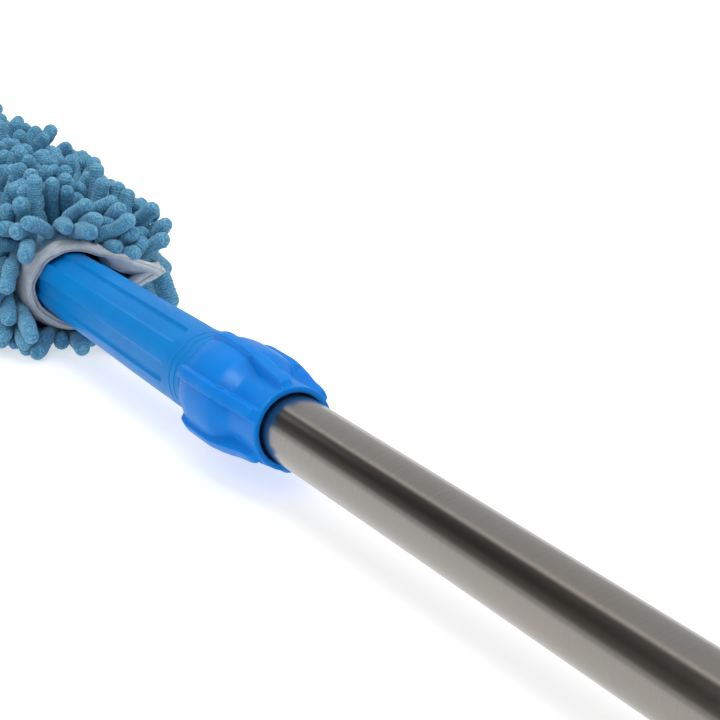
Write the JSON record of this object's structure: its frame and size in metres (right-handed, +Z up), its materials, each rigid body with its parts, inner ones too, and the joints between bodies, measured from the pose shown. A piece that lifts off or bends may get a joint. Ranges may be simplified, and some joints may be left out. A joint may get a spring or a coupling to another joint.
{
  "type": "chenille duster",
  "caption": "Microfibre chenille duster: a pull-off chenille sleeve over a padded bendable paddle, on a fluted plastic neck that a ribbed nut clamps on a round steel pole.",
  "frame": {"origin": "on the floor under the middle of the duster, centre of its box", "axes": "+X along the duster from the chenille head to the grip, +Z up from the floor it lies on; the pole's axis leans 0.71 degrees down towards +X"},
  "size_m": [1.263, 0.116, 0.0742],
  "materials": {
    "brushed_tube": "satin",
    "zinc_steel": "satin",
    "neck_blue": "satin",
    "nut_blue": "satin",
    "white_plastic": "matte",
    "grip_rubber": "matte",
    "foam": "matte",
    "backing_cloth": "matte",
    "binding_tape": "matte",
    "elastic": "matte",
    "chenille": "matte"
  },
  "bodies": {
    "head": {"neck_tube": "neck_blue", "hub_screw_1": "zinc_steel", "hub_screw_2": "zinc_steel", "core_hub": "white_plastic", "blade_rivet_1": "zinc_steel", "blade_rivet_2": "zinc_steel", "core_blade": "white_plastic", "core_strip": "zinc_steel", "foam_pad_top": "foam", "foam_pad_bottom": "foam"},
    "sleeve": {"sleeve_backing": "backing_cloth", "mouth_binding": "binding_tape", "mouth_elastic": "elastic", "chenille_top": "chenille", "chenille_bottom": "chenille"},
    "wedge": {"clamp_ring": "white_plastic"},
    "nut": {"clamp_nut": "nut_blue"},
    "slider": {"nose_plug": "white_plastic"},
    "pole": {"steel_tube": "brushed_tube", "grip_collar": "neck_blue", "rear_grip": "grip_rubber", "hang_cap": "neck_blue"}
  },
  "joints": [
    {"name": "sleeve_slide", "type": "slide", "parent": "head", "child": "sleeve", "axis": [-0.9999, 0, 0.0124], "range_m": [0, 0.33]},
    {"name": "ring_slide", "type": "slide", "parent": "head", "child": "wedge", "axis": [0.9999, 0, -0.0124], "range_m": [0, 0.0046]},
    {"name": "nut_turn", "type": "hinge", "parent": "wedge", "child": "nut", "pos_m": [-0.0857, -0.008, 0.02542], "axis": [0.9999, 0, -0.0124], "range_deg": [0, 540]},
    {"name": "pole_slide", "type": "slide", "parent": "head", "child": "slider", "axis": [0.9999, 0, -0.0124], "range_m": [-0.05, 0.12]},
    {"name": "pole_turn", "type": "hinge", "parent": "slider", "child": "pole", "pos_m": [-0.0857, -0.008, 0.02542], "axis": [0.9999, 0, -0.0124], "continuous": true}
  ],
  "couplings": [
    {"joint": "ring_slide", "follows": "nut_turn", "m_per_rad": 0.00047746}
  ]
}
